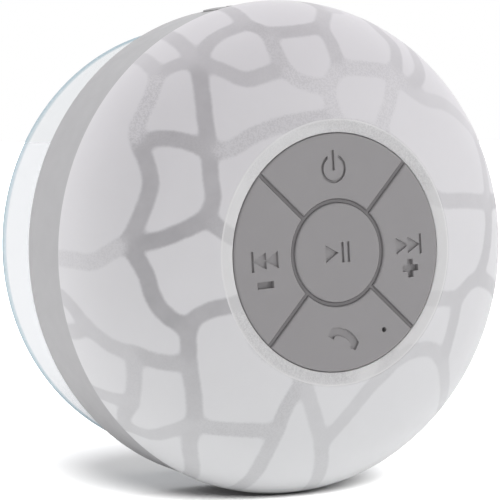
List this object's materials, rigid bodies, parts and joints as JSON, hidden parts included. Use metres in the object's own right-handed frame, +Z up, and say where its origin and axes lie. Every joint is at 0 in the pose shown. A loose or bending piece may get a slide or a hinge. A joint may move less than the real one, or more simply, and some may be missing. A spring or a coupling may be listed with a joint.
{
  "type": "shower speaker",
  "caption": "Round dome wireless shower speaker with a flat keypad on its face, a grey band with a covered charging port, and a clear suction cup behind.",
  "frame": {"origin": "centre of the suction cup's rim, in the plane of the wall it sticks to", "axes": "+Z up, -Y out of the wall towards the keypad, +X to the right when facing the keypad"},
  "size_m": [0.086, 0.0495, 0.086],
  "materials": {
    "cup_pvc": "clear soft PVC, glossy",
    "clear_plastic": "hard translucent plastic",
    "band_plastic": "fine satin texture",
    "dome_print": "printed crackle pattern under a soft-touch coat",
    "bezel_plastic": "satin translucent",
    "key_rubber": "matte moulded silicone",
    "web_rubber": "matte moulded silicone",
    "flap_rubber": "matte moulded silicone",
    "seal_rubber": "soft black rubber",
    "mesh_fabric": "fine woven mesh",
    "inner_plastic": "plain moulded",
    "screw_steel": "zinc plated",
    "board_resin": "solder-masked glass-fibre board",
    "module_board": "solder-masked board with a shield can",
    "switch_plastic": "moulded",
    "plunger_plastic": "moulded",
    "can_metal": "drawn can",
    "led_lens": "clear lens",
    "battery_film": "pouch film",
    "foam": "closed-cell foam",
    "wire_red": "insulated wire",
    "wire_black": "insulated wire",
    "frame_steel": "black pressed steel",
    "plate_steel": "zinc plated",
    "magnet_ferrite": "sintered ferrite",
    "coil_copper": "enamelled copper winding",
    "spider_cloth": "resin-dipped cloth",
    "cone_paper": "pressed paper",
    "tag_board": "phenolic board"
  },
  "bodies": {
    "cup": {"suction_cup": "cup_pvc"},
    "plug": {"cup_plug": "clear_plastic"},
    "speaker": {"rear_cover": "band_plastic", "rear_cover_gasket": "seal_rubber", "rear_cover_screws": "screw_steel", "speaker_mesh": "mesh_fabric", "rear_shell": "band_plastic", "shell_seal": "seal_rubber", "shell_screws": "screw_steel", "front_shell": "dome_print", "bezel_ring": "bezel_plastic", "keypad_web": "web_rubber", "keypad_retainer": "inner_plastic", "retainer_screws": "screw_steel", "main_board": "board_resin", "board_screws": "screw_steel", "switch_bodies": "switch_plastic", "microphone": "can_metal", "status_led": "led_lens", "bluetooth_module": "module_board", "amplifier_chip": "switch_plastic", "capacitors": "can_metal", "battery": "battery_film", "battery_pad": "foam", "battery_wires": "wire_red", "usb_board": "board_resin", "usb_socket": "can_metal", "usb_screws": "screw_steel", "usb_wires": "wire_red", "port_cover_anchor": "flap_rubber", "driver_frame": "frame_steel", "driver_gasket": "seal_rubber", "driver_screws": "screw_steel", "driver_top_plate": "plate_steel", "driver_magnet": "magnet_ferrite", "driver_yoke": "plate_steel", "driver_spider": "spider_cloth", "driver_surround": "seal_rubber", "driver_terminals": "tag_board", "speaker_wires": "wire_black"},
    "key_play": {"key_play": "key_rubber"},
    "key_power": {"key_power": "key_rubber"},
    "key_next": {"key_next": "key_rubber"},
    "key_phone": {"key_phone": "key_rubber"},
    "key_previous": {"key_previous": "key_rubber"},
    "plunger_play": {"plunger_play": "plunger_plastic"},
    "plunger_power": {"plunger_power": "plunger_plastic"},
    "plunger_next": {"plunger_next": "plunger_plastic"},
    "plunger_phone": {"plunger_phone": "plunger_plastic"},
    "plunger_previous": {"plunger_previous": "plunger_plastic"},
    "port_flap": {"port_cover": "flap_rubber"},
    "cone_assembly": {"driver_cone": "cone_paper", "dust_cap": "cone_paper", "voice_coil": "coil_copper"}
  },
  "joints": [
    {"name": "plug_turn", "type": "hinge", "parent": "cup", "child": "plug", "pos_m": [0, -0.0094, 0], "axis": [0, -1, 0], "continuous": true},
    {"name": "speaker_pull_off", "type": "slide", "parent": "plug", "child": "speaker", "axis": [0, -1, 0], "range_m": [0, 0.012]},
    {"name": "key_play_press", "type": "slide", "parent": "speaker", "child": "key_play", "axis": [0, 1, 0], "range_m": [0, 0.0003], "stiffness_N_per_m": 60},
    {"name": "key_power_press", "type": "slide", "parent": "speaker", "child": "key_power", "axis": [0, 1, 0], "range_m": [0, 0.0003], "stiffness_N_per_m": 60},
    {"name": "key_next_press", "type": "slide", "parent": "speaker", "child": "key_next", "axis": [0, 1, 0], "range_m": [0, 0.0003], "stiffness_N_per_m": 60},
    {"name": "key_phone_press", "type": "slide", "parent": "speaker", "child": "key_phone", "axis": [0, 1, 0], "range_m": [0, 0.0003], "stiffness_N_per_m": 60},
    {"name": "key_previous_press", "type": "slide", "parent": "speaker", "child": "key_previous", "axis": [0, 1, 0], "range_m": [0, 0.0003], "stiffness_N_per_m": 60},
    {"name": "plunger_play_press", "type": "slide", "parent": "speaker", "child": "plunger_play", "axis": [0, 1, 0], "range_m": [0, 0.0003]},
    {"name": "plunger_power_press", "type": "slide", "parent": "speaker", "child": "plunger_power", "axis": [0, 1, 0], "range_m": [0, 0.0003]},
    {"name": "plunger_next_press", "type": "slide", "parent": "speaker", "child": "plunger_next", "axis": [0, 1, 0], "range_m": [0, 0.0003]},
    {"name": "plunger_phone_press", "type": "slide", "parent": "speaker", "child": "plunger_phone", "axis": [0, 1, 0], "range_m": [0, 0.0003]},
    {"name": "plunger_previous_press", "type": "slide", "parent": "speaker", "child": "plunger_previous", "axis": [0, 1, 0], "range_m": [0, 0.0003]},
    {"name": "port_cover_swing", "type": "hinge", "parent": "speaker", "child": "port_flap", "pos_m": [-0.00395, -0.0249, 0.04181], "axis": [0, -1, 0], "range_deg": [0, 100]},
    {"name": "cone_stroke", "type": "slide", "parent": "speaker", "child": "cone_assembly", "axis": [0, 1, 0], "range_m": [-0.0008, 0.0008], "stiffness_N_per_m": 200, "deforming": ["driver_spider", "driver_surround"]}
  ],
  "couplings": [
    {"joint": "plunger_play_press", "follows": "key_play_press", "ratio": 1},
    {"joint": "plunger_power_press", "follows": "key_power_press", "ratio": 1},
    {"joint": "plunger_next_press", "follows": "key_next_press", "ratio": 1},
    {"joint": "plunger_phone_press", "follows": "key_phone_press", "ratio": 1},
    {"joint": "plunger_previous_press", "follows": "key_previous_press", "ratio": 1}
  ]
}
